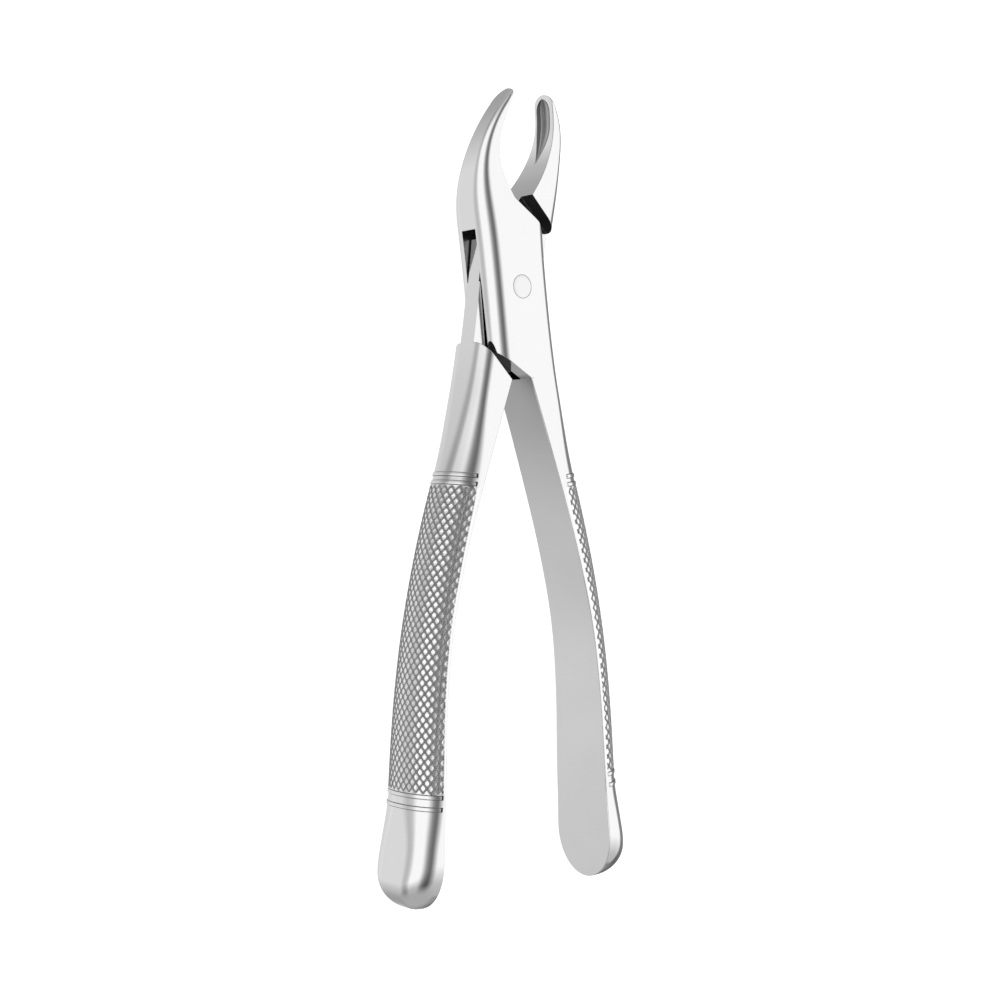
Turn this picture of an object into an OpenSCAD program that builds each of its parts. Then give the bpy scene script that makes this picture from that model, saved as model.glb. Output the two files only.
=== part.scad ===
// Dental extraction forceps with a box-lock joint.
// The joint lies in the XY plane with its pivot axis on +Z. The origin is on the
// pivot axis, at the back face of the joint. The beaks point to +Y, the handles to -Y.
// Everything is drawn in the rest pose, which is partly open.

/* [Joint] */
// Thickness of the joint between its two flat faces
joint_thickness = 12; // [11:0.1:13]
// Diameter of the riveted joint pin
pin_d = 5.1; // [3:0.1:6.5]
// Radial clearance of the pin in the tongue
pin_clearance = 0.04; // [0.02:0.01:0.1]
// Thickness of the tongue that turns inside the box
tongue_thickness = 4.4; // [3.6:0.1:5]
// Gap between the tongue and each cheek of the box
tongue_gap = 0.08; // [0.05:0.01:0.2]
// Radius of the rounded outer edges of the joint
cheek_radius = 3.6; // [3:0.1:3.8]
// Distance from the pivot to the tongue's two shoulders
shoulder_reach = 16.2; // [16:0.1:17]
// Distance from the pivot to the upper edge of the cheeks
cheek_reach_up = 14.85; // [14.5:0.05:15]
// Distance from the pivot to the lower edge of the cheeks
cheek_reach_down = 15.7; // [15.3:0.05:15.9]
// Room that is left past the tongue's ends when the beaks are closed
slot_end_room = 0.65; // [0.5:0.05:1]
// Angle by which the forceps closes from the rest pose
closing_angle = 12.5; // [10:0.5:12.5]

/* [Handles] */
// Distance from the pivot to the end of the handles
handle_length = 132; // [125:1:140]
// Width of the handle's flat inner face near its end
handle_end_width = 17.4; // [15:0.2:19]
// Length of the rounded end of the handle's inner face
handle_cap = 11.3; // [9:0.1:13]

/* [Beaks] */
// Distance from the pivot to the beak tips
beak_length = 41.8; // [40:0.1:44]
// Size of the small bevel that breaks the sharp edges
edge_break = 0.15; // [0.1:0.05:0.3]

/* [Hidden] */

mid_z = joint_thickness / 2;
pin_r = pin_d / 2;
slot_thickness = tongue_thickness + 2 * tongue_gap;
far = 60;
corner_steps = 5;

// Direction of the cheek edges' and shoulders' outward normals, from +X
cheek_up_dir = 57;
cheek_down_dir = 240;
shoulder_dir = 44.5;
// The tongue's ends mirror the cheek edges and meet the slot's blind ends when closed
slot_up_dir = 180 - cheek_up_dir + closing_angle;
slot_down_dir = 180 - cheek_down_dir + closing_angle;

// Stations along Y with the handle's and joint's contours, for the half whose
// handle lies at +X. The other half is its mirror image.
end_y = -handle_length;
cap_y = end_y + handle_cap;
crotch = [2.56, -19.6];
beak_corner = [-2.0, 19.0];

// X of the handle's flat inner face
inner_face = [[end_y, 23.9], [-106, 22.4], [-90, 21.6], [-74, 19.7], [-58, 15.75],
              [-40, 9.9], [crotch[1], crotch[0]]];
// X of the outer side, from the end of the handle to the top of the cheeks
outer_side = [[end_y, 31.9], [-124, 30.8], [-118, 29.6], [-110, 29], [-100, 28.65], [-84, 27.35],
              [-66, 24.6], [-48, 20.3], [-34, 15.7], [-20, 12], [-12, 10.5], [0, 8.85],
              [8, 7.95], [20, 7.2]];
// X of the beak side, from the lower cheek edge to the tip
beak_side = [[-20, -6.2], [0, -8.45], [12, -10.1], [18, -11.2], [24, -11.6], [30, -11.1],
             [34, -10.1], [38, -8.2], [beak_length, -5.2]];
// X of the beak's inner face
beak_inner = [[beak_corner[1], beak_corner[0]], [22, -4.3], [25, -6], [28, -6.95], [32, -7.35],
              [35, -6.95], [38, -5.95], [beak_length, -4.85]];
// Half the handle's width, along Z
half_width = [[end_y, 9.4], [cap_y, handle_end_width / 2], [-100, 7.95], [-75, 7.1], [-50, 6.55],
              [-20, mid_z]];
// Width of the flat strip between the inner face and the rounded outer side
strip = [[end_y, 1.6], [-116, 1.8], [-106, 0.5], [-98, 0.3], [-88, 0.3], [-60, 1.3],
         [-41, 2.2], [-20, 5.6], [0, 5]];
// Height of the rounding on the outer side, as a share of the half width
round_share = [[end_y, 0.57], [-114, 0.6], [-106, 0.9], [-98, 1], [-46, 1], [-14, 0.6],
               [0, 0.6]];
// Front and back of the beak along Z, from the joint's middle: it sweeps forward
beak_front = [[12, 6], [24, 6.1], [28, 6.6], [34, 8.2], [38, 9.3], [beak_length, 9.9]];
beak_back = [[12, -6], [16, -5.8], [20, -4.7], [24, -3], [28, -1], [32, 1], [36, 2.8],
             [beak_length, 3.9]];
// Radius of the beak's outer edges
beak_radius = [[12, cheek_radius], [17, 3.5], [22, 2.8], [28, 2], [34, 1.4], [beak_length, 0.8]];
// Where the tip starts to round off
tip_round = 3.4;
tip_y = beak_length - tip_round;

// Smooth curve through [station, value] points
function piece_of(p, y, i = 0) = i >= len(p) - 2 || y < p[i + 1][0] ? i : piece_of(p, y, i + 1);
function rise(p, i) = (p[i + 1][1] - p[i][1]) / (p[i + 1][0] - p[i][0]);
function slope(p, i) =
    i == 0 ? rise(p, 0) : i == len(p) - 1 ? rise(p, i - 1) : (rise(p, i - 1) + rise(p, i)) / 2;
function curve(p, y) =
    let (i = piece_of(p, y), h = p[i + 1][0] - p[i][0], t = (y - p[i][0]) / h)
    p[i][1] * (2 * t * t * t - 3 * t * t + 1) + slope(p, i) * h * (t * t * t - 2 * t * t + t)
    + p[i + 1][1] * (3 * t * t - 2 * t * t * t) + slope(p, i + 1) * h * (t * t * t - t * t);
function round_off(t) = sqrt(max(1 - t * t, 0.01));

// One rounded corner of a section, as points [x, z] about the corner's centre
function corner(cx, cz, rx, rz, from) =
    [for (i = [0:corner_steps]) let (a = from - 90 * i / corner_steps)
        [cx + rx * cos(a), cz + rz * sin(a)]];
// A section between left and right, back and front, with its left and right corner radii
function section(y, left, right, back, front, lx, lz, rx, rz) =
    [for (p = concat(
        corner(right - rx, front - rz, rx, rz, 90),
        corner(right - rx, back + rz, rx, rz, 0),
        corner(left + lx, back + lz, lx, lz, -90),
        corner(left + lx, front - lz, lx, lz, -180))) [p[0], y, p[1] + mid_z]];

function handle_section(y) =
    let (t = max(0, (cap_y - y) / handle_cap), td = max(0, (end_y + 7.8 - y) / 7.8),
         w = curve(half_width, y) * round_off(t),
         inner = curve(inner_face, y),
         depth = (curve(outer_side, y) - inner) * round_off(td),
         flat = min(curve(strip, y), depth / 2),
         rz = min(curve(round_share, y) * w, w - 0.1))
    section(y, inner, inner + depth, -w, w, edge_break, edge_break, depth - flat, rz);
function joint_section(y) =
    section(y, curve(beak_side, y), curve(outer_side, y), -mid_z, mid_z,
            cheek_radius, cheek_radius, cheek_radius, cheek_radius);
function root_section(y) =
    section(y, curve(beak_side, y), curve(outer_side, y), curve(beak_back, y), curve(beak_front, y),
            curve(beak_radius, y), curve(beak_radius, y), cheek_radius, cheek_radius);
function beak_section(y) =
    let (t = max(0, (y - tip_y) / tip_round),
         front = curve(beak_front, y), back = curve(beak_back, y),
         half = (front - back) / 2 * round_off(t), middle = (front + back) / 2,
         r = min(curve(beak_radius, y), half * 0.9))
    section(y, curve(beak_side, y), curve(beak_inner, y), middle - half, middle + half,
            min(r, 0.7 * (curve(beak_inner, y) - curve(beak_side, y))), r, edge_break, edge_break);

handle_stations = [end_y, end_y + 0.4, end_y + 1.5, end_y + 3.2, end_y + 5.6, end_y + 8.5, cap_y,
                   -114, -106, -98, -91, -84, -77, -70, -63, -56, -48, -40, -32, -25, crotch[1]];
joint_stations = [crotch[1] + 0.1, -13, -6, 0, 6, 12];
root_stations = [14, 16, 18, beak_corner[1] - 0.2];
beak_stations = [beak_corner[1] - 0.1, 20.5, 22, 24, 26, 28, 30, 32, 34, 36, 38, tip_y,
                 tip_y + 0.4 * tip_round, tip_y + 0.7 * tip_round, tip_y + 0.9 * tip_round,
                 beak_length];
half_rings = concat(
    [for (y = handle_stations) handle_section(y)],
    [for (y = joint_stations) joint_section(y)],
    [for (y = root_stations) root_section(y)],
    [for (y = beak_stations) beak_section(y)]);

// A closed solid through a list of rings
module skin(rings) {
    n = len(rings[0]);
    last = len(rings) - 1;
    sides = [for (k = [0:last - 1], i = [0:n - 1]) let (j = (i + 1) % n)
        each [[k * n + j, k * n + i, (k + 1) * n + i], [k * n + j, (k + 1) * n + i, (k + 1) * n + j]]];
    caps = [[for (i = [0:n - 1]) i], [for (i = [n - 1:-1:0]) last * n + i]];
    polyhedron([for (r = rings) each r], concat(sides, caps));
}

// All the material on the far side of an edge at a distance from the pivot
module beyond(direction, reach) {
    rotate(direction)
        translate([reach, -far])
            square([far, 2 * far]);
}

// Material cut away past the cheeks' upper edge and lower edge, up to the beak and handle
module above_cheeks() {
    intersection() {
        beyond(cheek_up_dir, cheek_reach_up);
        translate([beak_corner[0] - 0.1, 0])
            square([far, beak_corner[1] + 8]);
    }
}
module below_cheeks() {
    intersection() {
        beyond(cheek_down_dir, cheek_reach_down);
        translate([crotch[0] + 0.15 - far, crotch[1] - 4])
            square([far, far]);
    }
}
module through(bottom, top) {
    translate([0, 0, bottom])
        linear_extrude(top - bottom)
            children();
}

// Outer shape of one half, with its handle at +X and its beak at -X
module half_blank() {
    difference() {
        skin(half_rings);
        through(-far, far)
            above_cheeks();
        through(-far, far)
            below_cheeks();
    }
}

// Half with the box: two cheeks with a slot between them, open on both sides
module slotted_half() {
    color("silver")
        difference() {
            half_blank();
            through(mid_z - slot_thickness / 2, mid_z + slot_thickness / 2)
                difference() {
                    square(2 * far, center = true);
                    beyond(slot_up_dir, cheek_reach_up + slot_end_room);
                    beyond(slot_down_dir, cheek_reach_down + slot_end_room);
                }
            translate([0, 0, -far])
                cylinder(h = 2 * far, r = pin_r, $fn = 64);
        }
}

// Half with the tongue that passes through the slot
module tongue_half() {
    shoulders = 2 * shoulder_reach;
    color("gainsboro")
        difference() {
            mirror([1, 0, 0])
                half_blank();
            for (side = [-far, mid_z + tongue_thickness / 2])
                through(side, side < 0 ? mid_z - tongue_thickness / 2 : far)
                    rotate(shoulder_dir)
                        square([shoulders, 2 * far], center = true);
            translate([0, 0, -far])
                cylinder(h = 2 * far, r = pin_r + pin_clearance, $fn = 64);
        }
}

// Pin, riveted flush with both faces of the box
module joint_pin() {
    color("lightgray")
        cylinder(h = joint_thickness, r = pin_r, $fn = 64);
}

slotted_half();
tongue_half();
joint_pin();
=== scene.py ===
"""Dental extraction forceps with a box-lock joint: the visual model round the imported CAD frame."""
import math

import bmesh
import bpy
import numpy as np
from mathutils import Matrix, Vector


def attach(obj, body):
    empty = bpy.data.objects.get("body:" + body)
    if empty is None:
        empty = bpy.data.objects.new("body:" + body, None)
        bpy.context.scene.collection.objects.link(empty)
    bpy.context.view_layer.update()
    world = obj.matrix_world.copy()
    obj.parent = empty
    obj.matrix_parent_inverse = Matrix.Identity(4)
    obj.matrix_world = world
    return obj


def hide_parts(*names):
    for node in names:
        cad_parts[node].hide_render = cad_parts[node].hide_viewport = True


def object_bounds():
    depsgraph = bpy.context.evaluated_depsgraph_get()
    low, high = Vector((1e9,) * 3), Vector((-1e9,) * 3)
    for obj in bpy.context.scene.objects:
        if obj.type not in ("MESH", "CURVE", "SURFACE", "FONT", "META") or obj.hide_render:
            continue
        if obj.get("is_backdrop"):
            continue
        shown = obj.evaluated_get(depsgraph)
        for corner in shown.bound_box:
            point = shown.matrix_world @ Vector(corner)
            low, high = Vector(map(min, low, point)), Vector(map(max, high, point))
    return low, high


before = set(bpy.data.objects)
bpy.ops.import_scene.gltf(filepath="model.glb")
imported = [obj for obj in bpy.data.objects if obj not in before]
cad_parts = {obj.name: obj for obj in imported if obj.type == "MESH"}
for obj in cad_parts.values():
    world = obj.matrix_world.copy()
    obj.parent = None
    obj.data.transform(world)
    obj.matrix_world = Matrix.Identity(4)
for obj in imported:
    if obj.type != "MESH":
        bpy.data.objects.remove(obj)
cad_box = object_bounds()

MM = 0.001

# ---------------------------------------------------------------- sizes, in millimetres
# The halves are drawn like the slotted one: handle at +X, beak at -X, pivot at the origin,
# and Z measured from the middle of the joint. The tongue half is the mirror image.
JOINT_HALF = 6.0
CHEEK_RADIUS = 3.6
# The handle's end, which rounds off over CAP in its width and over DEPTH_CAP in its depth
END_Y = -132.0
CAP = 11.3
DEPTH_CAP = 7.8
# The beak's tip and its rounding, seen from the side
TIP_Y = 41.8
TIP_ROUND = 2.4
# Where the handles part, and where the beaks part
CROTCH_Y = -19.6
CORNER_Y = 19.0
# The pin, its hairline gap and softened rim, and the tongue's clearance round it
PIN_R = 2.55
PIN_GAP = 0.03
PIN_SOFT = 0.06
TONGUE_HOLE_GAP = 0.04
# Half thickness of the slot and the tongue, and how far the shoulders are from the pivot
SLOT_HALF = 2.28
TONGUE_HALF = 2.2
SHOULDER = 16.2
# Small fillet on every long edge, and the reach of the smoothing along the contours
FILLET = 0.13
SMOOTHING = 2.5

# Directions of the straight cuts across the joint, in degrees from +X, and their reach
CHEEK_UP = (57.0, 14.85)
CHEEK_DOWN = (240.0, 15.7)
SLOT_UP = (135.5, 15.5)
SLOT_DOWN = (-47.5, 16.35)
SHOULDER_DIR = 44.5

# Outline of the tongue's bearing face, which lies under the cheek when the forceps rest
BEARING = [(-8.4, 2), (-6.36, -16.35), (0.5, -23.3), (9, -15), (9, 12), (-7.5, 12)]
BEARING_STEP = 0.01
# The tongue's top edge is cut back inside the slot, from the crotch of the beaks to its side
CUT_BACK = [(1.6, 18.9), (-12, 6.31), (-12, 25), (1.6, 25)]
# Rabbet along the tongue's side where it shows in the slot's window
RABBET = [(-8.45, 0.8), (-7.45, 10.6), (-12, 10.6), (-12, 0.8)]
RABBET_FROM = 1.85
# Clearance under the cheeks' edge: its outline, and how far it opens at the lower end
RELIEF = [(-7.9, 1.5), (-5.6, -19), (-13, -19), (-13, 1.5)]
RELIEF_OPEN = 0.6
RELIEF_LEAST = 0.02
# How far cutters reach: out past every surface, through the pin's hole, and past the tongue's faces
PAST_ALL = 20
PAST_HOLE = 10
PAST_TONGUE = 3

# Between these the joint keeps its thickness; the cheeks' rounding is steady from CHEEK_FROM
JOINT_FROM = -20
CHEEK_FROM = -14
BEAK_FROM = 12
# How near the ends' roundings come to their poles, where the fans of faces close them
NEAR_POLE = 0.9995

# Contours along Y
INNER_FACE = [(-132, 23.9), (-106, 22.4), (-90, 21.6), (-74, 19.7), (-58, 15.75), (-40, 9.9),
              (CROTCH_Y, 2.56)]
OUTER_SIDE = [(-132, 31.9), (-124, 30.8), (-118, 29.6), (-110, 29), (-100, 28.65), (-84, 27.35),
              (-66, 24.6), (-48, 20.3), (-34, 15.7), (-20, 12), (-12, 10.5), (0, 8.85), (8, 7.95),
              (20, 7.2)]
BEAK_SIDE = [(-20, -6.2), (0, -8.45), (12, -10.1), (18, -11.2), (24, -11.6), (30, -11.1),
             (34, -10.1), (38, -8.2), (TIP_Y, -5.2)]
BEAK_INNER = [(CORNER_Y, -2.0), (22, -4.3), (25, -6), (28, -6.95), (32, -7.35), (35, -6.95),
              (38, -5.95), (TIP_Y, -4.85)]
HALF_WIDTH = [(-132, 9.4), (-120.7, 8.7), (-100, 7.95), (-75, 7.1), (-50, 6.55), (-20, JOINT_HALF)]
STRIP = [(-132, 1.6), (-119.5, 1.7), (-112, 0.45), (-104, 0.3), (-88, 0.3), (-60, 0.5),
         (-41, 1.2), (-20, 5.6), (0, 5)]
LEAST_STRIP = 0.3
ROUND_SHARE = [(-132, 0.57), (-117, 0.6), (-110, 0.9), (-103, 1), (-46, 1), (-14, 0.6), (0, 0.6)]
CHEEK_SHARE = 0.6
BEAK_FRONT = [(12, 6), (24, 6.1), (28, 6.6), (34, 8.2), (38, 9.3), (TIP_Y, 9.9)]
BEAK_BACK = [(12, -6), (16, -5.8), (20, -4.7), (24, -3), (28, -1), (32, 1), (36, 2.8),
             (TIP_Y, 3.9)]
BEAK_RADIUS = [(12, CHEEK_RADIUS), (17, 3.5), (22, 2.8), (28, 2), (34, 1.5), (TIP_Y, 1.2)]

# Diamond knurl on the rounded side of the handle, between two pairs of ring grooves
PER_DIAMOND = 8
KNURL_AROUND = 1.6
KNURL_ALONG = 2.15
KNURL_ROWS = 29.5
KNURL_START = -106.8
KNURL_END = KNURL_START + KNURL_ROWS * KNURL_ALONG
KNURL_DEPTH = 0.13
KNURL_CROWN = 0.07
# Plain width left on the rounded side, at each edge of the knurl and rings, and how softly it ends
PLAIN_EDGE = 0.3
KNURL_FADE = 0.12
# How far the pads reach into the groove, as a share of a column, and where that stops at the edges
KNURL_NARROW = 0.5
NARROW_MARGIN = 0.3
RING_WIDTH = 0.85
RING_WALL = 0.07
RING_DEPTH = 0.2
RING_BOWL = 0.04
# Length of each ring groove's end that gets a dark finish in place of its shadow. Only the tongue
# half's ends get it: the photo shows those dark, and the other handle's bright.
RING_STOP = 0.5
RINGS = [KNURL_START - 0.75, KNURL_START - 3.2, KNURL_END + 0.75, KNURL_END + 2.5]
# Hollow in each beak's inner face, from its pointed end to its round end near the tip
GOUGE_FROM = 27.0
GOUGE_TO = 41.0
GOUGE_WIDE = 0.78
GOUGE_DEPTH = 1.1
GOUGE_SHIFT = 0.08
GOUGE_COLUMNS = 24
GOUGE_RIDGE = 7 / 12
# The hollow is a leaf: shares of its length over which it widens and rounds off, and how fast
LEAF_WIDENS = 0.6
LEAF_POWER = 0.8
LEAF_END = 0.2
# Depth of the thinner bowl beside the ridge, and of the ridge, as shares of the main bowl's
THIN_BOWL = 0.75
RIDGE_LOW = 0.45
# Half height of the beak from which on the hollow has its full depth
FULL_DEPTH_FROM = 2.4
# The hollow's columns draw together before and after it, down to a least share of the height
GATHER_BEFORE = 4
GATHER_AFTER = 0.9
GATHER_LEAST = 0.06
# The rings lie square to the handle, a little off the plane across Y. The tilt grows over
# TILT_IN past the handle's cap and shrinks over TILT_OUT up to TILT_GONE.
HANDLE_TILT = 0.09
TILT_IN = 8
TILT_OUT = 12
TILT_GONE = -28

# Columns of the mesh round a section: each edge curve, each fillet and the side between them
RIGHT = {"edge": 44, "fillet": 4, "side": 32}
LEFT = {"edge": 20, "fillet": 3, "side": 14}
LEFT_HANDLE = {"edge": 2, "fillet": 3, "side": 50}
FLAT = 6
COLUMN_STEP = KNURL_AROUND / PER_DIAMOND
COLUMNS_RIGHT = 2 * RIGHT["edge"] + 2 * RIGHT["fillet"] + RIGHT["side"] + 1
# Above the knurl its even columns change into the joint's, from BLEND_FROM over BLEND_LENGTH
BLEND_FROM = -40
BLEND_LENGTH = 18
# Distance round the side given to the points that aren't on it
ELSEWHERE = 99.0
# How near the inner face a point counts as on it, and the least depth that counts as carved
FLAT_WITHIN = 0.003
CARVED = 0.01
# Spacing of rows on the plain cap, above the rings, past the joint's cuts and on the beak
CAP_STEP = 0.8
NECK_STEP = 0.7
JOINT_STEP = 0.65
BEAK_STEP = 0.45
# Points in a section's curves before its columns are spread over them
CURVE_POINTS = 56
CUT_POINTS = 24
STUB_POINTS = 8
SIDE_POINTS = 40
# Extra sections along the handle, so that the tilt of its rows is exact
SECTION_STEP = 0.25
SECTIONS_TO = -24

GRID_STEP = 0.1
GRID = np.arange(-146.0, 56.0, GRID_STEP)


# ---------------------------------------------------------------- smooth contours
def hermite(points, y):
    """Curve through points, by the CAD model's own rule, with straight runs past its ends."""
    p = np.array(points, float)
    rise = np.diff(p[:, 1]) / np.diff(p[:, 0])
    slope = np.concatenate([rise[:1], (rise[1:] + rise[:-1]) / 2, rise[-1:]])
    i = np.clip(np.searchsorted(p[:, 0], y, side="right") - 1, 0, len(p) - 2)
    h = p[i + 1, 0] - p[i, 0]
    t = (np.clip(y, p[0, 0], p[-1, 0]) - p[i, 0]) / h
    inside = (p[i, 1] * (2 * t**3 - 3 * t**2 + 1) + slope[i] * h * (t**3 - 2 * t**2 + t)
              + p[i + 1, 1] * (3 * t**2 - 2 * t**3) + slope[i + 1] * h * (t**3 - t**2))
    before = np.minimum(y - p[0, 0], 0) * slope[0]
    after = np.maximum(y - p[-1, 0], 0) * slope[-1]
    return inside + before + after


def smooth(values):
    """Gaussian smoothing along Y, so that polished faces reflect without creases."""
    reach = int(4 * SMOOTHING / GRID_STEP)
    kernel = np.exp(-0.5 * (np.arange(-reach, reach + 1) * GRID_STEP / SMOOTHING) ** 2)
    first = 2 * values[0] - values[reach:0:-1]
    last = 2 * values[-1] - values[-2:-reach - 2:-1]
    padded = np.concatenate([first, values, last])
    return np.convolve(padded, kernel / kernel.sum(), "valid")


def cut_x(cut, y):
    """X of a straight cut's edge at y."""
    a = math.radians(cut[0])
    return (cut[1] - y * math.sin(a)) / math.cos(a)


def tables():
    """Every contour of a half on the fine grid along Y."""
    raw = {"inner": INNER_FACE, "outer": OUTER_SIDE, "beak": BEAK_SIDE, "beak_inner": BEAK_INNER,
           "width": HALF_WIDTH, "strip": STRIP, "share": ROUND_SHARE, "front": BEAK_FRONT,
           "back": BEAK_BACK, "radius": BEAK_RADIUS}
    t = {name: hermite(points, GRID) for name, points in raw.items()}
    t["width"] = np.where(GRID > JOINT_FROM, JOINT_HALF, t["width"])
    t["front"] = np.where(GRID < BEAK_FROM, JOINT_HALF, t["front"])
    t["back"] = np.where(GRID < BEAK_FROM, -JOINT_HALF, t["back"])
    t["radius"] = np.where(GRID < BEAK_FROM, CHEEK_RADIUS, t["radius"])
    share = np.where(GRID > CHEEK_FROM, CHEEK_SHARE, t["share"])
    t["share"] = np.clip(share, CHEEK_SHARE, 1)
    t["strip"] = np.maximum(t["strip"], LEAST_STRIP)
    t["round_x"] = np.where(GRID < CROTCH_Y, t["outer"] - t["inner"] - t["strip"], CHEEK_RADIUS)
    t["round_z"] = np.minimum(t["share"] * t["width"], t["width"] - 0.1)
    return {name: smooth(values) for name, values in t.items()}


TABLE = tables()


def at(name, y):
    """A contour's value at y."""
    return float(np.interp(y, GRID, TABLE[name]))


# ---------------------------------------------------------------- one section of a half
def profile(extent, edge, rx, rz, front, back, gap):
    """One side of a section as [outward, z] points from front to back, with its four breaks.
    extent is where the rounded side would end, and edge is where a cut ends it."""
    start = extent - rx
    if edge <= start:
        u = np.linspace(edge - gap, edge, CUT_POINTS)
        f = np.full_like(u, front)
        b = np.full_like(u, back)
    else:
        end = math.acos(min(1.0, (edge - start) / rx))
        a = np.linspace(math.pi / 2, end, CURVE_POINTS)
        u = start + rx * np.cos(a)
        f = front - rz + rz * np.sin(a)
        b = back + rz - rz * np.sin(a)
        if edge - gap < start:
            stub = np.linspace(edge - gap, start, STUB_POINTS)[:-1]
            u = np.concatenate([stub, u])
            f = np.concatenate([np.full(len(stub), front), f])
            b = np.concatenate([np.full(len(stub), back), b])
    d = min(FILLET, 0.3 * (f[-1] - b[-1]), 0.3 * gap)
    near = filleted(u, f, -1, d)
    far = filleted(u, b, 1, d)
    side = np.linspace(f[-1] - d, b[-1] + d, SIDE_POINTS)[1:-1]
    pts = np.concatenate([near[0], near[1], np.stack([np.full_like(side, edge), side], 1),
                          far[1][::-1], far[0][::-1]])
    n = [len(near[0]), len(near[1]), len(side), len(far[1]), len(far[0])]
    breaks = np.cumsum(n)[:4] - 1
    length = np.concatenate([[0], np.cumsum(np.hypot(*np.diff(pts, axis=0).T))])
    return pts, length, length[breaks + [0, 1, 0, 1]]


def filleted(u, z, turn, d):
    """The edge curve cut short by d, and the small fillet that turns it into the side."""
    run = np.concatenate([[0], np.cumsum(np.hypot(np.diff(u), np.diff(z)))])
    stop = run[-1] - d
    keep = run < stop - 1e-6
    cut = [np.interp(stop, run, u), np.interp(stop, run, z)]
    edge = np.concatenate([np.stack([u[keep], z[keep]], 1), [cut]])
    corner = np.array([u[-1], z[-1]])
    after = corner + [0, turn * d]
    t = np.linspace(0, 1, STUB_POINTS)[1:, None]
    bend = (1 - t) ** 2 * edge[-1] + 2 * t * (1 - t) * corner + t**2 * after
    return edge, bend


def spread(length, breaks, counts):
    """Distances along a profile: so many columns for each edge curve, fillet and side."""
    stops = [0, *breaks, length[-1]]
    n = [counts["edge"], counts["fillet"], counts["side"], counts["fillet"], counts["edge"]]
    parts = [np.linspace(a, b, k, endpoint=False) for a, b, k in zip(stops, stops[1:], n)]
    return np.concatenate([*parts, [length[-1]]])


def even(length, arc):
    """Distances at the knurl's own spacing across the rounded side, centred on it."""
    columns = COLUMNS_RIGHT - 1
    c = np.arange(columns + 1) - columns / 2
    edge = arc / 2 / COLUMN_STEP
    stub = length[-1] / 2 - arc / 2
    past = arc / 2 + (np.abs(c) - edge) / (columns / 2 - edge) * stub
    return length[-1] / 2 + np.sign(c) * np.where(np.abs(c) < edge, np.abs(c) * COLUMN_STEP, past)


def ease(x):
    """Smooth step from 0 to 1."""
    x = np.clip(x, 0, 1)
    return x * x * (3 - 2 * x)


def limits(y):
    """Sizes of the section at y: front, back, and both sides' extents, cuts and radii."""
    front, back, width = at("front", y), at("back", y), at("width", y)
    outer, inner = at("outer", y), at("inner", y)
    rx, rz = at("round_x", y), min(at("round_z", y), width - 0.1)
    if y < CROTCH_Y + 1:
        t = np.clip((END_Y + CAP - y) / CAP, 0, NEAR_POLE)
        shrink = math.sqrt(1 - t * t)
        td = np.clip((END_Y + DEPTH_CAP - y) / DEPTH_CAP, 0, NEAR_POLE)
        depth = (outer - inner) * math.sqrt(1 - td * td)
        front, back = width * shrink, -width * shrink
        rx = rx * depth / (outer - inner)
        outer = inner + depth
        rz = rz * shrink
    left, left_cut, left_r = at("beak", y), at("beak", y), at("radius", y)
    if y < CROTCH_Y:
        left = left_cut = inner
        left_r = 0
    elif y < 0:
        left_cut = max(left, cut_x(CHEEK_DOWN, y))
    right, right_cut = outer, outer
    if y >= CORNER_Y:
        right = right_cut = at("beak_inner", y)
        rx = 0
    elif y > 0:
        right_cut = min(outer, cut_x(CHEEK_UP, y))
    if y > BEAK_FROM:
        t = np.clip((y - TIP_Y + TIP_ROUND) / TIP_ROUND, 0, NEAR_POLE)
        half = (front - back) / 2 * math.sqrt(1 - t * t)
        front, back = (front + back) / 2 + half, (front + back) / 2 - half
        left_r = min(left_r, half * 0.9)
    left_rx = min(left_r, 0.7 * (right_cut - left)) if y >= CORNER_Y else left_r
    return front, back, (right, right_cut, rx, rz), (left, left_cut, left_rx, left_r)


def ring(y):
    """The section at y as closed columns of [x, z], how far each lies round the side, and
    how far from the side's middle the knurl and rings reach."""
    front, back, (right, right_cut, rx, rz), (left, left_cut, lx, lz) = limits(y)
    gap = min(0.5 * at("strip", y), 1.0, 0.3 * (right_cut - left_cut))
    pts, length, breaks = profile(right, right_cut, rx, rz, front, back, gap)
    where = spread(length, breaks, RIGHT)
    arc = length[-1] - 2 * min(gap + PLAIN_EDGE, length[-1] * 0.2) if y < CROTCH_Y else 0
    if y < CROTCH_Y:
        blend = ease((y - BLEND_FROM) / BLEND_LENGTH)
        where = blend * where + (1 - blend) * even(length, arc)
    r = np.stack([np.interp(where, length, pts[:, 0]), np.interp(where, length, pts[:, 1])], 1)
    around = where - length[-1] / 2
    pts, length, breaks = profile(-left, -left_cut, lx, lz, front, back, gap)
    where = spread(length, breaks, LEFT_HANDLE if y < CROTCH_Y else LEFT)
    left = np.stack([-np.interp(where, length, pts[:, 0]), np.interp(where, length, pts[:, 1])], 1)
    left = left[::-1]
    t = np.linspace(0, 1, FLAT + 1)[1:-1, None]
    behind = r[-1] * (1 - t) + left[0] * t
    ahead = left[-1] * (1 - t) + r[0] * t
    section = np.concatenate([r, behind, left, ahead])
    s = np.full(len(section), ELSEWHERE)
    s[:len(r)] = around
    return section, s, arc / 2


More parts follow.
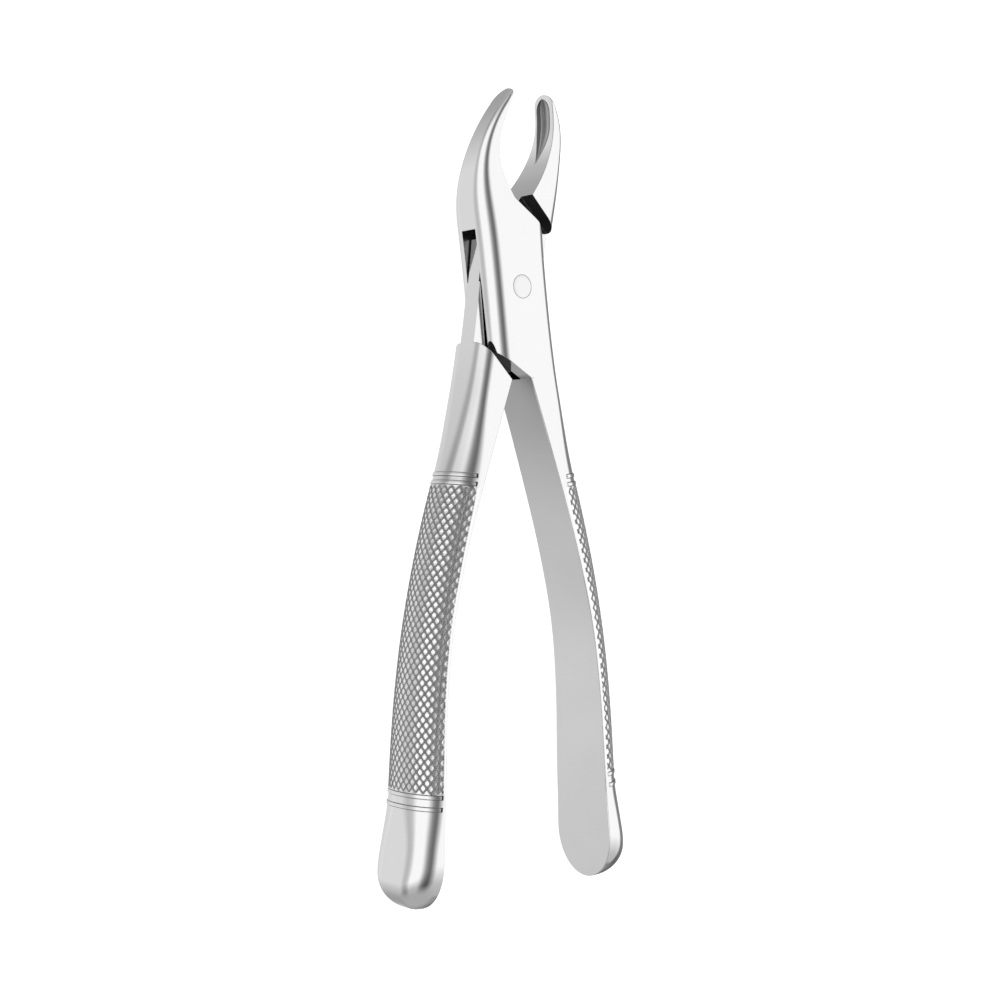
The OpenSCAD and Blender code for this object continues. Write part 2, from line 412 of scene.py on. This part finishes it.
# ---------------------------------------------------------------- rows along the half
def stations():
    """Places of the rows along Y, closest where the surface turns or is cut."""
    quarter = np.linspace(0.035, math.pi / 2, 34)
    rows = [END_Y + CAP * (1 - math.cos(q)) for q in quarter]
    rows += list(np.arange(END_Y + CAP + CAP_STEP, RINGS[1] - 1, CAP_STEP))
    for centre in RINGS:
        half = RING_WIDTH / 2
        rows += [centre + k for k in (-half - RING_WALL, -half + RING_WALL, -half / 2, 0,
                                      half / 2, half - RING_WALL, half + RING_WALL)]
    rows += list(KNURL_START + np.arange(KNURL_ROWS * PER_DIAMOND + 1) * KNURL_ALONG / PER_DIAMOND)
    rows += [(RINGS[0] + RINGS[1]) / 2, (RINGS[2] + RINGS[3]) / 2]
    rows += list(np.arange(RINGS[3] + 1, CROTCH_Y - 0.3, NECK_STEP))
    rows += [CROTCH_Y - 0.12, CROTCH_Y - 1e-4, CROTCH_Y + 1e-4, CROTCH_Y + 0.12]
    down = meeting(CHEEK_DOWN, "beak")
    up = meeting(CHEEK_UP, "outer")
    rows += list(down - (down - CROTCH_Y) * np.linspace(0.06, 0.97, 18) ** 2)
    rows += list(np.arange(down + 0.05, up - 0.2, JOINT_STEP))
    rows += list(up + (CORNER_Y - up) * np.linspace(0.04, 0.985, 22) ** 2)
    rows += [CORNER_Y - 1e-4, CORNER_Y + 1e-4, CORNER_Y + 0.12]
    rows += list(np.arange(CORNER_Y + 0.5, TIP_Y - TIP_ROUND, BEAK_STEP))
    rows += [TIP_Y - TIP_ROUND * (1 - math.sin(q)) for q in np.linspace(0, math.pi / 2 - 0.04, 18)]
    return np.array(sorted(set(rows)))


def meeting(cut, side):
    """Y where a cut's edge meets a side."""
    y = np.linspace(-19, -8, 1101) if side == "beak" else np.linspace(8, 18, 1001)
    gap = np.interp(y, GRID, TABLE[side]) - np.array([cut_x(cut, v) for v in y])
    return float(y[np.argmin(np.abs(gap))])


def skin_grid():
    """The rows, the grid of points [row, column, xyz] over a half, each point's distance round
    its side, and how far from the side's middle each row's knurl or ring reaches."""
    rows = stations()
    extra = np.arange(END_Y + CAP, SECTIONS_TO, SECTION_STEP)
    base = np.array(sorted(set(list(rows) + list(extra))))
    made = [ring(y) for y in base]
    xz = np.array([m[0] for m in made])
    around = np.array([m[1] for m in made])
    arc = np.array([m[2] for m in made])
    tilt = HANDLE_TILT * ease((base - END_Y - CAP) / TILT_IN)
    tilt = tilt * ease((TILT_GONE - base) / TILT_OUT)
    middle = (np.interp(base, GRID, TABLE["inner"]) + np.interp(base, GRID, TABLE["outer"])) / 2
    shifted = base[:, None] - tilt[:, None] * (xz[:, :, 0] - middle[:, None])
    grid = np.zeros((len(rows), xz.shape[1], 3))
    s = np.zeros(grid.shape[:2])
    for c in range(xz.shape[1]):
        y = np.interp(rows, shifted[:, c], base)
        grid[:, c, 0] = np.interp(y, base, xz[:, c, 0])
        grid[:, c, 1] = y
        grid[:, c, 2] = np.interp(y, base, xz[:, c, 1])
        s[:, c] = np.interp(y, base, around[:, c])
    return rows, grid, s, np.interp(rows, base, arc)


def outward(grid):
    """Unit normals of the grid, pointing out of the solid."""
    along = np.gradient(grid, axis=0)
    round_it = np.roll(grid, -1, 1) - np.roll(grid, 1, 1)
    n = np.cross(along, round_it)
    return n / np.maximum(np.linalg.norm(n, axis=2, keepdims=True), 1e-12)


def diagonals(rows, count):
    """Signed distance from each point to the nearest groove of either slant, in columns."""
    column = np.arange(count)[None, :] - (COLUMNS_RIGHT - 1) // 2
    row = np.rint((rows - KNURL_START) / (KNURL_ALONG / PER_DIAMOND))[:, None]
    half = PER_DIAMOND / 2
    return [(column + sign * row + half) % PER_DIAMOND - half for sign in (1, -1)]


def carve(rows, s, arc):
    """Knurl and ring grooves, as moves along the surface normal, and the rows in the knurl."""
    columns = np.arange(s.shape[1])
    lift = np.zeros(s.shape)
    inside = ease((arc[:, None] - np.abs(s)) / KNURL_FADE) * (columns < COLUMNS_RIGHT)[None, :]
    in_knurl = (rows > KNURL_START - 0.01) & (rows < KNURL_END + 0.01)
    near = np.minimum(*[np.abs(v) for v in diagonals(rows, len(columns))])
    crown = KNURL_CROWN * np.minimum(near - 1, 3) / 3
    pads = np.where(near < 0.5, -KNURL_DEPTH, crown)
    lift += np.where(in_knurl[:, None], pads * inside, 0)
    for place in RINGS:
        d = np.abs(rows - place)
        floor = -RING_DEPTH - RING_BOWL * (1 - (d / (RING_WIDTH / 2)) ** 2)
        groove = np.where(d < RING_WIDTH / 2, floor, 0)
        lift += groove[:, None] * (inside > 0.5)
    return lift, in_knurl


def narrow(rows, grid, s, arc, in_knurl):
    """Moves the pads' edges along the surface, towards the bottom of the knurl's grooves."""
    columns = np.arange(grid.shape[1])
    inner = in_knurl & np.roll(in_knurl, 1) & np.roll(in_knurl, -1)
    mask = inner[:, None] & (np.abs(s) < arc[:, None] - NARROW_MARGIN)
    mask &= (columns < COLUMNS_RIGHT)[None, :]
    along = np.gradient(grid, axis=0)
    across = (np.roll(grid, -1, 1) - np.roll(grid, 1, 1)) / 2
    move = np.zeros_like(grid)
    for sign, v in zip((1, -1), diagonals(rows, len(columns))):
        pull = np.where(mask & (np.abs(v) == 1), -v * KNURL_NARROW / 2, 0)[:, :, None]
        move += pull * (across + sign * along)
    return move


def gouge(grid):
    """Leaf-shaped hollow in the beak's inner face, with a ridge along it. Tells what is sunk."""
    first = RIGHT["edge"] + RIGHT["fillet"]
    count = RIGHT["side"]
    rim = (count - GOUGE_COLUMNS) // 2
    w = np.linspace(-1, 1, GOUGE_COLUMNS + 1)
    sunk = np.zeros(grid.shape[:2], bool)
    for k in range(grid.shape[0]):
        y = grid[k, first, 1]
        if y < GOUGE_FROM - GATHER_BEFORE or y > TIP_Y - 0.05:
            continue
        top, bottom = grid[k, first, 2], grid[k, first + count, 2]
        half = (top - bottom) / 2
        middle = (top + bottom) / 2 - GOUGE_SHIFT * half
        t = (y - GOUGE_FROM) / (GOUGE_TO - GOUGE_FROM)
        leaf = 0.0
        if 0 < t < 1:
            leaf = GOUGE_WIDE * ease(t / LEAF_WIDENS) ** LEAF_POWER
            if t > 1 - LEAF_END:
                leaf *= math.sqrt(1 - ((t - (1 - LEAF_END)) / LEAF_END) ** 2)
        even_share = GOUGE_COLUMNS / count
        before, after = (GOUGE_FROM - y) / GATHER_BEFORE, (y - GOUGE_TO) / GATHER_AFTER
        spare = ease(before if t < 0.5 else after)
        share = max(leaf, GATHER_LEAST + (even_share - GATHER_LEAST) * spare)
        inner = middle - w * half * share
        above = np.linspace(top, inner[0], rim, endpoint=False)
        below = np.linspace(bottom, inner[-1], rim, endpoint=False)[::-1]
        grid[k, first:first + count + 1, 2] = np.concatenate([above, inner, below])
        if leaf < 0.05:
            continue
        main = 1 - ((w - (1 + GOUGE_RIDGE) / 2) / ((1 - GOUGE_RIDGE) / 2)) ** 2
        thin = THIN_BOWL * (1 - ((w - (GOUGE_RIDGE - 1) / 2) / ((GOUGE_RIDGE + 1) / 2)) ** 2)
        bowl = np.where(w > GOUGE_RIDGE, main, thin)
        bowl = np.maximum(bowl, RIDGE_LOW * (1 - w**2))
        deep = GOUGE_DEPTH * leaf / GOUGE_WIDE * min(1, half / FULL_DEPTH_FROM)
        columns = slice(first + rim, first + rim + GOUGE_COLUMNS + 1)
        grid[k, columns, 0] -= deep * bowl
        sunk[k, columns] = True
    return sunk


# ---------------------------------------------------------------- meshes
# Numbers of the finishes, in the order of LOOKS
# Finishes from the groove's on are darker than bare steel: painted shade and painted shadow.
SKIN, SATIN, KNURL, GROOVE_SHADE, GOUGE, INSIDE_SHADE, PAINTED_SHADOW, BEARING_SHADOW = range(8)


def corners(n_rows, n_cols):
    """Row, column and next column of every face of a grid, and its four vertices."""
    r, c = np.meshgrid(np.arange(n_rows - 1), np.arange(n_cols), indexing="ij")
    c2 = (c + 1) % n_cols
    v00, v01 = r * n_cols + c, r * n_cols + c2
    return r, c, c2, (v00, v01, v00 + n_cols, v01 + n_cols)


def finishes(rows, base, s, arc, lift, in_knurl, sunk, mirrored):
    """The finish of every face of the grid, and which faces are knurled."""
    r, c, c2, _ = corners(*s.shape)
    knurled = in_knurl[r] & in_knurl[r + 1] & (c < COLUMNS_RIGHT - 1)
    flat = np.abs(base[:, :, 0] - np.interp(base[:, :, 1], GRID, TABLE["inner"])) < FLAT_WITHIN
    flat &= base[:, :, 1] < CROTCH_Y
    satin = flat[r, c] & flat[r, c2] & flat[r + 1, c] & flat[r + 1, c2]
    # Ring grooves' walls take the groove finish, darker as painted shade.
    wall = (np.abs(rows[r + 1] - rows[r] - 2 * RING_WALL) < 1e-6) & (s[r, c] < ELSEWHERE)
    wall &= (lift[r, c] < -CARVED) | (lift[r + 1, c] < -CARVED)
    # Ring groove ends on the tongue half take the shadowed finish, painted shadow.
    stop = (lift[r, c] + lift[r, c2] < -RING_DEPTH / 2) & mirrored
    stop &= arc[r] - np.abs(s[r, c]) < RING_STOP
    # The beak's hollow takes the gouge finish: rougher, and painted darker as shade.
    hollow = sunk[r, c] & sunk[r + 1, c] & sunk[r, c2] & sunk[r + 1, c2]
    kind = np.select([knurled, satin, stop, wall, hollow], [KNURL, SATIN, PAINTED_SHADOW, GROOVE_SHADE, GOUGE],
                     SKIN)
    return kind, knurled


def skin_faces(lift, kind, knurled):
    """Quads, two triangles for each knurled face, folded along its groove, and a fan of
    triangles to a last vertex at each end. Returns the faces and their finishes."""
    n_rows, n_cols = lift.shape
    r, c, c2, (v00, v01, v10, v11) = corners(n_rows, n_cols)
    low = (lift[r, c] + lift[r + 1, c2] < lift[r, c2] + lift[r + 1, c] - 1e-9)[..., None]
    first = np.where(low, np.stack([v00, v11, v01], -1), np.stack([v00, v10, v01], -1))
    second = np.where(low, np.stack([v00, v10, v11], -1), np.stack([v10, v11, v01], -1))
    quads = np.stack([v00, v10, v11, v01], -1)[~knurled]
    tris = np.concatenate([first[knurled], second[knurled]])
    bottom = lift.ravel() < -0.5 * KNURL_DEPTH
    # Triangles touching the knurl's groove bottoms take the groove finish, painted shade.
    tri_kind = np.where(bottom[tris].any(axis=1), GROOVE_SHADE, KNURL)
    around = np.arange(n_cols)
    after = (around + 1) % n_cols
    top = (n_rows - 1) * n_cols
    poles = n_rows * n_cols
    fan0 = np.stack([np.full(n_cols, poles), around, after], -1)
    fan1 = np.stack([np.full(n_cols, poles + 1), top + after, top + around], -1)
    faces = quads.tolist() + tris.tolist() + fan0.tolist() + fan1.tolist()
    return faces, np.concatenate([kind[~knurled], tri_kind, np.full(2 * n_cols, SKIN)])


def new_object(name, points, faces, materials, kinds):
    """A mesh object of points in metres, with each face's material number."""
    mesh = bpy.data.meshes.new(name)
    mesh.from_pydata(points, [], faces)
    for m in materials:
        mesh.materials.append(m)
    mesh.polygons.foreach_set("material_index", kinds)
    mesh.update()
    obj = bpy.data.objects.new(name, mesh)
    bpy.context.scene.collection.objects.link(obj)
    return obj


def half_mesh(name, mirrored, materials):
    """One half as a closed skin, before the joint is cut."""
    rows, grid, s, arc = skin_grid()
    lift, in_knurl = carve(rows, s, arc)
    base = grid.copy()
    normals = outward(grid)
    slide = narrow(rows, grid, s, arc, in_knurl)
    sunk = gouge(grid)
    grid = grid + normals * lift[:, :, None] + slide
    kind, knurled = finishes(rows, base, s, arc, lift, in_knurl, sunk, mirrored)
    faces, kinds = skin_faces(lift, kind, knurled)
    poles = np.array([grid[0].mean(0), grid[-1].mean(0)])
    poles[:, 1] = [END_Y, TIP_Y]
    points = np.concatenate([grid.reshape(-1, 3), poles])
    if mirrored:
        points = points * [-1, 1, 1]
    else:
        faces = [f[::-1] for f in faces]
    points = (points * MM + [0, 0, JOINT_HALF * MM]).tolist()
    return new_object(name, points, faces, materials, kinds.astype(np.int32))


def prism(outline, low, high, materials, flat, wall):
    """Closed prism over an XY outline, as a cutter that leaves the materials flat and wall.
    low and high are heights, or one height for each point."""
    n = len(outline)
    heights = [np.broadcast_to(z, n) for z in (low, high)]
    points = [(x * MM, y * MM, (z + JOINT_HALF) * MM)
              for level in heights for (x, y), z in zip(outline, level)]
    faces = [tuple(range(n))[::-1], tuple(range(n, 2 * n))]
    faces += [(i, (i + 1) % n, n + (i + 1) % n, n + i) for i in range(n)]
    obj = new_object("cutter", points, faces, materials, [flat] * 2 + [wall] * n)
    bm = bmesh.new()
    bm.from_mesh(obj.data)
    bmesh.ops.recalc_face_normals(bm, faces=bm.faces)
    bm.to_mesh(obj.data)
    bm.free()
    return obj


def band(first, second, reach=40.0):
    """Outline between two straight cuts, each given as (direction, distance)."""
    outline = []
    for direction, distance in (first, second):
        a = math.radians(direction)
        n = np.array([math.cos(a), math.sin(a)])
        t = np.array([-n[1], n[0]])
        outline += [n * distance - t * reach, n * distance + t * reach]
    return [tuple(p) for p in outline]


def circle(radius, count=96):
    """Points of a circle."""
    return [(radius * math.cos(2 * math.pi * k / count), radius * math.sin(2 * math.pi * k / count))
            for k in range(count)]


def cut_away(obj, cutter):
    """Boolean difference, applied, and the cutter removed."""
    m = obj.modifiers.new("cut", "BOOLEAN")
    m.operation = "DIFFERENCE"
    m.solver = "MANIFOLD"
    m.object = cutter
    dg = bpy.context.evaluated_depsgraph_get()
    made = bpy.data.meshes.new_from_object(obj.evaluated_get(dg))
    obj.modifiers.clear()
    obj.data = made
    bpy.data.objects.remove(cutter)


def shade(obj, angle=30.0):
    """Flat facets on the knurl, and smooth faces with sharp edges elsewhere."""
    mesh = obj.data
    kinds = np.zeros(len(mesh.polygons), np.int32)
    mesh.polygons.foreach_get("material_index", kinds)
    mesh.polygons.foreach_set("use_smooth", kinds != KNURL)
    mesh.set_sharp_from_angle(angle=math.radians(angle))
    mesh.update()


# ---------------------------------------------------------------- materials
# Radius over which tumbling and polishing have softened every edge, in metres
WORN_EDGE = 0.00016
# The brushed inner face's roughness is its own, but its colour is painted darker near the joint,
# a painted shade for the dark reflection there. The shade is full as far as the first of these
# along Y and gone from the second on, in metres.
PAINTED_SHADE_FROM = -0.02
PAINTED_SHADE_TO = -0.055
# Share by which the grain lightens and darkens the steel, and how much it is drawn out along Y
GRAIN_TINT = 0.03
GRAIN_STRETCH = 0.06
SMEAR_SCALE = 90.0
# Height of the grain's relief, in metres
GRAIN_HEIGHT = 0.00002


def node(tree, kind, **settings):
    """A new shader node with some of its properties set."""
    n = tree.nodes.new(kind)
    for key, value in settings.items():
        setattr(n, key, value)
    return n


def maths(tree, operation, *values):
    """Output of a maths node, whose inputs are sockets or numbers."""
    n = node(tree, "ShaderNodeMath", operation=operation)
    for socket, value in zip(n.inputs, values):
        if isinstance(value, bpy.types.NodeSocket):
            tree.links.new(value, socket)
        else:
            socket.default_value = value
    return n.outputs[0]


def mapped(tree, value, start, stop, low, high, **settings):
    """Output of a map range node, from start and stop to low and high."""
    n = node(tree, "ShaderNodeMapRange", **settings)
    for name, number in (("From Min", start), ("From Max", stop), ("To Min", low), ("To Max", high)):
        n.inputs[name].default_value = number
    tree.links.new(value, n.inputs["Value"])
    return n.outputs[0]


def noise(tree, vector, scale, detail):
    """Output of a noise node."""
    n = node(tree, "ShaderNodeTexNoise")
    n.inputs["Scale"].default_value = scale
    n.inputs["Detail"].default_value = detail
    tree.links.new(vector, n.inputs["Vector"])
    return n.outputs["Fac"]


def steel(name, grey, rough, spread_of_rough, grain, bump, painted_shade_factor=1.0):
    """Stainless steel: a fine grain along the part and faint smears. Its colour falls by
    the given factor towards the joint, a painted shade."""
    m = bpy.data.materials.new(name)
    m.use_nodes = True
    t = m.node_tree
    t.nodes.clear()
    out = node(t, "ShaderNodeOutputMaterial")
    bsdf = node(t, "ShaderNodeBsdfPrincipled")
    bsdf.inputs["Metallic"].default_value = 1.0
    t.links.new(bsdf.outputs[0], out.inputs[0])
    place = node(t, "ShaderNodeTexCoord").outputs["Object"]
    stretch = node(t, "ShaderNodeMapping")
    stretch.inputs["Scale"].default_value = (1.0, GRAIN_STRETCH, 1.0)
    t.links.new(place, stretch.inputs["Vector"])
    lines = noise(t, stretch.outputs[0], grain, 4.0)
    smears = noise(t, place, SMEAR_SCALE, 5.0)
    tint = mapped(t, lines, 0.0, 1.0, grey * (1 - GRAIN_TINT), grey * (1 + GRAIN_TINT))
    if painted_shade_factor < 1:
        axes = node(t, "ShaderNodeSeparateXYZ")
        t.links.new(place, axes.inputs[0])
        away = mapped(t, axes.outputs["Y"], PAINTED_SHADE_FROM, PAINTED_SHADE_TO, painted_shade_factor, 1.0,
                      interpolation_type="SMOOTHSTEP")
        tint = maths(t, "MULTIPLY", tint, away)
    colour = node(t, "ShaderNodeCombineColor")
    for channel in ("Red", "Green", "Blue"):
        t.links.new(tint, colour.inputs[channel])
    t.links.new(colour.outputs[0], bsdf.inputs["Base Color"])
    gloss = mapped(t, smears, 0.3, 0.7, rough - spread_of_rough, rough + spread_of_rough)
    t.links.new(gloss, bsdf.inputs["Roughness"])
    relief = node(t, "ShaderNodeBump")
    relief.inputs["Strength"].default_value = bump
    relief.inputs["Distance"].default_value = GRAIN_HEIGHT
    t.links.new(lines, relief.inputs["Height"])
    worn = node(t, "ShaderNodeBevel", samples=6)
    worn.inputs["Radius"].default_value = WORN_EDGE
    t.links.new(worn.outputs[0], relief.inputs["Normal"])
    t.links.new(relief.outputs[0], bsdf.inputs["Normal"])
    return m


# ---------------------------------------------------------------- camera, floor and light
# The floor's reach and its distance under the forceps in metres, its grey, and its own glow
FLOOR_REACH = 6.0
FLOOR_GAP = 0.0002
FLOOR_GREY = 0.55
FLOOR_GLOW = 0.9


def camera():
    """The photo's camera: its axes, place and lens are fitted to the object's contours."""
    right = Vector((0.770532651, -0.000343636, 0.637400436))
    up = Vector((0.00469183, 0.99997582, -0.00513269))
    back = Vector((-0.63738326, 0.00694548, 0.77051563))
    place = Vector((-0.239775, -0.043595, 0.294246))
    data = bpy.data.cameras.new("camera")
    data.lens = 61.63
    data.sensor_width = 36.0
    data.clip_start = 0.01
    obj = bpy.data.objects.new("camera", data)
    obj.matrix_world = Matrix.Translation(place) @ Matrix((right, up, back)).transposed().to_4x4()
    bpy.context.scene.collection.objects.link(obj)
    bpy.context.scene.camera = obj


def floor(level):
    """Pale ground at a height, which reflections don't show."""
    points = [(x * FLOOR_REACH, y * FLOOR_REACH, level)
              for x, y in ((-1, -1), (1, -1), (1, 1), (-1, 1))]
    m = bpy.data.materials.new("pale_floor")
    m.use_nodes = True
    bsdf = m.node_tree.nodes["Principled BSDF"]
    bsdf.inputs["Base Color"].default_value = (FLOOR_GREY, FLOOR_GREY, FLOOR_GREY, 1)
    bsdf.inputs["Roughness"].default_value = 1.0
    bsdf.inputs["Specular IOR Level"].default_value = 0.0
    bsdf.inputs["Emission Color"].default_value = (1, 1, 1, 1)
    bsdf.inputs["Emission Strength"].default_value = FLOOR_GLOW
    obj = new_object("floor", points, [(0, 1, 2, 3)], [m], [0])
    obj.visible_glossy = False
    obj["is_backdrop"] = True


# Brightness of the studio by the angle from straight up towards -X, in degrees, chosen so that
# the steel's reflections match the photo's. The floor isn't seen in reflections, so the lower
# half stands for it.
STUDIO = [(-180, 0.95), (-150, 0.9), (-125, 0.35), (-87, 0.3), (-75, 1.5), (-40, 1.52),
          (-30, 1.45), (-20, 0.97), (-10, 0.56), (-3, 0.31), (2, 0.22), (10, 0.27), (20, 0.42),
          (30, 0.82), (40, 1.37), (46, 1.52), (83, 1.5), (91, 1.15), (99, 0.85), (114, 0.76),
          (135, 1.06), (155, 1.15), (180, 0.95)]
# Share of that brightness left, by how far a direction points along Y
STUDIO_ENDS = [(-1, 0.5), (-0.8, 0.5), (-0.6, 0.52), (-0.5, 0.65), (-0.37, 0.8), (-0.22, 1),
               (0.2, 1), (0.35, 0.83), (0.5, 0.64), (0.7, 0.53), (1, 0.5)]
# Brightness at the poles of the angle, which takes over between these lengths along Y
STUDIO_POLE = 0.62
POLE_FROM = 0.6
POLE_FULL = 0.95
# Brightness that stands for 1 in the colour ramp
STUDIO_TOP = 2.0


def shades(tree, value, stops):
    """Output of a colour ramp with grey stops, each given as (position, value)."""
    ramp = node(tree, "ShaderNodeValToRGB")
    elements = ramp.color_ramp.elements
    while len(elements) < len(stops):
        elements.new(0.5)
    for element, (position, grey) in zip(elements, stops):
        element.position = position
        element.color = (grey, grey, grey, 1)
    tree.links.new(value, ramp.inputs["Fac"])
    return ramp.outputs[0]


def studio():
    """White soft light from both sides, with a dark soft strip overhead and darker ends."""
    world = bpy.data.worlds.new("studio")
    bpy.context.scene.world = world
    world.use_nodes = True
    t = world.node_tree
    t.nodes.clear()
    out = node(t, "ShaderNodeOutputWorld")
    light = node(t, "ShaderNodeBackground")
    light.inputs["Color"].default_value = (1, 1, 1, 1)
    t.links.new(light.outputs[0], out.inputs[0])
    axes = node(t, "ShaderNodeSeparateXYZ")
    t.links.new(node(t, "ShaderNodeTexCoord").outputs["Generated"], axes.inputs[0])
    x, y, z = axes.outputs
    angle = maths(t, "ARCTAN2", maths(t, "MULTIPLY", x, -1.0), z)
    share = mapped(t, angle, -math.pi, math.pi, 0.0, 1.0)
    turn = shades(t, share, [((degrees + 180) / 360, value / STUDIO_TOP)
                             for degrees, value in STUDIO])
    along = mapped(t, y, -1.0, 1.0, 0.0, 1.0)
    ends = shades(t, along, [((place + 1) / 2, value) for place, value in STUDIO_ENDS])
    pole = mapped(t, maths(t, "ABSOLUTE", y), POLE_FROM, POLE_FULL, 0.0, 1.0,
                  interpolation_type="SMOOTHSTEP")
    even_out = node(t, "ShaderNodeMix", data_type="FLOAT")
    even_out.inputs["B"].default_value = STUDIO_POLE / STUDIO_TOP
    t.links.new(pole, even_out.inputs["Factor"])
    t.links.new(maths(t, "MULTIPLY", turn, ends), even_out.inputs["A"])
    strength = maths(t, "MULTIPLY", even_out.outputs[0], STUDIO_TOP)
    t.links.new(strength, light.inputs["Strength"])
    bpy.context.scene.view_settings.view_transform = "Standard"
    bpy.context.scene.view_settings.look = "None"


# ---------------------------------------------------------------- the forceps
def pin_mesh(material):
    """Riveted pin, turned, with a hairline gap round its faces."""
    radius, height, soft = PIN_R - PIN_GAP, 2 * JOINT_HALF, PIN_SOFT
    outline = [(0, 0), (radius * 0.5, 0)]
    outline += [(radius - soft + soft * math.sin(a), soft - soft * math.cos(a))
                for a in np.linspace(0, math.pi / 2, 4)]
    outline += [(r, height - z) for r, z in outline[::-1]]
    sides = 96
    points = []
    for r, z in outline[1:-1]:
        points += [(r * x * MM, r * y * MM, z * MM) for x, y in circle(1.0, sides)]
    rings = len(outline) - 2
    faces = []
    for k in range(rings - 1):
        for i in range(sides):
            j = (i + 1) % sides
            faces.append((k * sides + i, k * sides + j, (k + 1) * sides + j, (k + 1) * sides + i))
    faces.append(tuple(range(sides))[::-1])
    faces.append(tuple((rings - 1) * sides + i for i in range(sides)))
    return new_object("riveted_pin", points, faces, [material], [0] * len(faces))


# The halves' finishes, in the order of their numbers: grey, roughness and how far it wanders,
# fineness and relief of the grain, and how dull the colour is towards the joint, a painted shade.
# The knurled pads' grey is a little lighter than bare steel, painted light. Those darker than bare
# steel, from the groove's on, are painted shade in the grooves, the hollows, the slot and the pin's
# holes, and painted shadow on the bearing faces, the slot's walls, the clearances and groove ends.
LOOKS = {"polished_steel": (0.62, 0.1, 0.02, 9000.0, 0.05),
         "satin_steel": (0.62, 0.32, 0.03, 16000.0, 0.12, 0.66),
         "knurled_steel": (0.68, 0.14, 0.03, 9000.0, 0.05),
         "groove_shade_steel": (0.28, 0.25, 0.04, 9000.0, 0.05),
         "gouge_shade_steel": (0.36, 0.3, 0.04, 16000.0, 0.12),
         "inside_shade_steel": (0.3, 0.3, 0.05, 16000.0, 0.15),
         "shadowed_steel": (0.04, 0.45, 0.05, 16000.0, 0.15),
         "bearing_shadow_steel": (0.1, 0.35, 0.05, 16000.0, 0.15)}
PIN_LOOK = (0.6, 0.14, 0.03, 12000.0, 0.1)


def slotted(looks):
    """The half with the slot, the pin's hole and clearances under its cheeks' edges."""
    box = half_mesh("box_half", False, looks)
    # Cut faces take darker finishes: the slot's flats and the pin's hole painted shade, and the
    # slot's end walls and the clearances under the cheeks painted shadow.
    cut_away(box, prism(band(SLOT_UP, SLOT_DOWN), -SLOT_HALF, SLOT_HALF, looks, INSIDE_SHADE, PAINTED_SHADOW))
    cut_away(box, prism(circle(PIN_R), -PAST_HOLE, PAST_HOLE, looks, INSIDE_SHADE, INSIDE_SHADE))
    opening = np.array([RELIEF_LEAST if y > 0 else RELIEF_OPEN for x, y in RELIEF])
    for turn in (1, -1):
        edge = turn * (SLOT_HALF + opening)
        cut_away(box, prism(RELIEF, 0, edge, looks, PAINTED_SHADOW, PAINTED_SHADOW))
    return box


def tongued(looks):
    """The half with the tongue: its top edge, bearing faces, shoulders, rabbets and pin's hole."""
    tongue = half_mesh("tongue_half_skin", True, looks)
    # Cut faces, but for the shoulders' flats, take darker finishes: painted shade on the cut-back
    # edge and in the pin's hole, painted shadow on the bearing faces, the walls and the rabbets.
    cut_away(tongue, prism(CUT_BACK, -PAST_TONGUE, PAST_TONGUE, looks, INSIDE_SHADE, INSIDE_SHADE))
    for turn in (1, -1):
        low, high = turn * (TONGUE_HALF - BEARING_STEP), turn * PAST_ALL
        # The bearing faces under the cheeks take a near-black finish, painted shadow.
        cut_away(tongue, prism(BEARING, low, high, looks, BEARING_SHADOW, PAINTED_SHADOW))
    outline = band((SHOULDER_DIR, SHOULDER), (SHOULDER_DIR + 180, SHOULDER))
    for low, high in ((TONGUE_HALF, PAST_ALL), (-PAST_ALL, -TONGUE_HALF)):
        cut_away(tongue, prism(outline, low, high, looks, SKIN, PAINTED_SHADOW))
    for turn in (1, -1):
        low, high = turn * RABBET_FROM, turn * PAST_ALL
        cut_away(tongue, prism(RABBET, low, high, looks, PAINTED_SHADOW, PAINTED_SHADOW))
    hole = circle(PIN_R + TONGUE_HOLE_GAP)
    cut_away(tongue, prism(hole, -PAST_HOLE, PAST_HOLE, looks, INSIDE_SHADE, INSIDE_SHADE))
    return tongue


def build():
    """Camera, light, the three pieces and the floor just under them."""
    camera()
    studio()
    looks = [steel(name, *values) for name, values in LOOKS.items()]
    box = slotted(looks)
    tongue = tongued(looks)
    pin = pin_mesh(steel("brushed_pin", *PIN_LOOK))
    for obj, body, cad, slot in ((box, "box", "slotted_half", "polished_steel"),
                                 (tongue, "tongue", "tongue_half", "polished_steel"),
                                 (pin, "box", "joint_pin", "pin_steel")):
        shade(obj)
        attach(obj, body)
        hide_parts(cad)
    low = min(cad_box[0].z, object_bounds()[0].z)
    floor(low - FLOOR_GAP)


build()
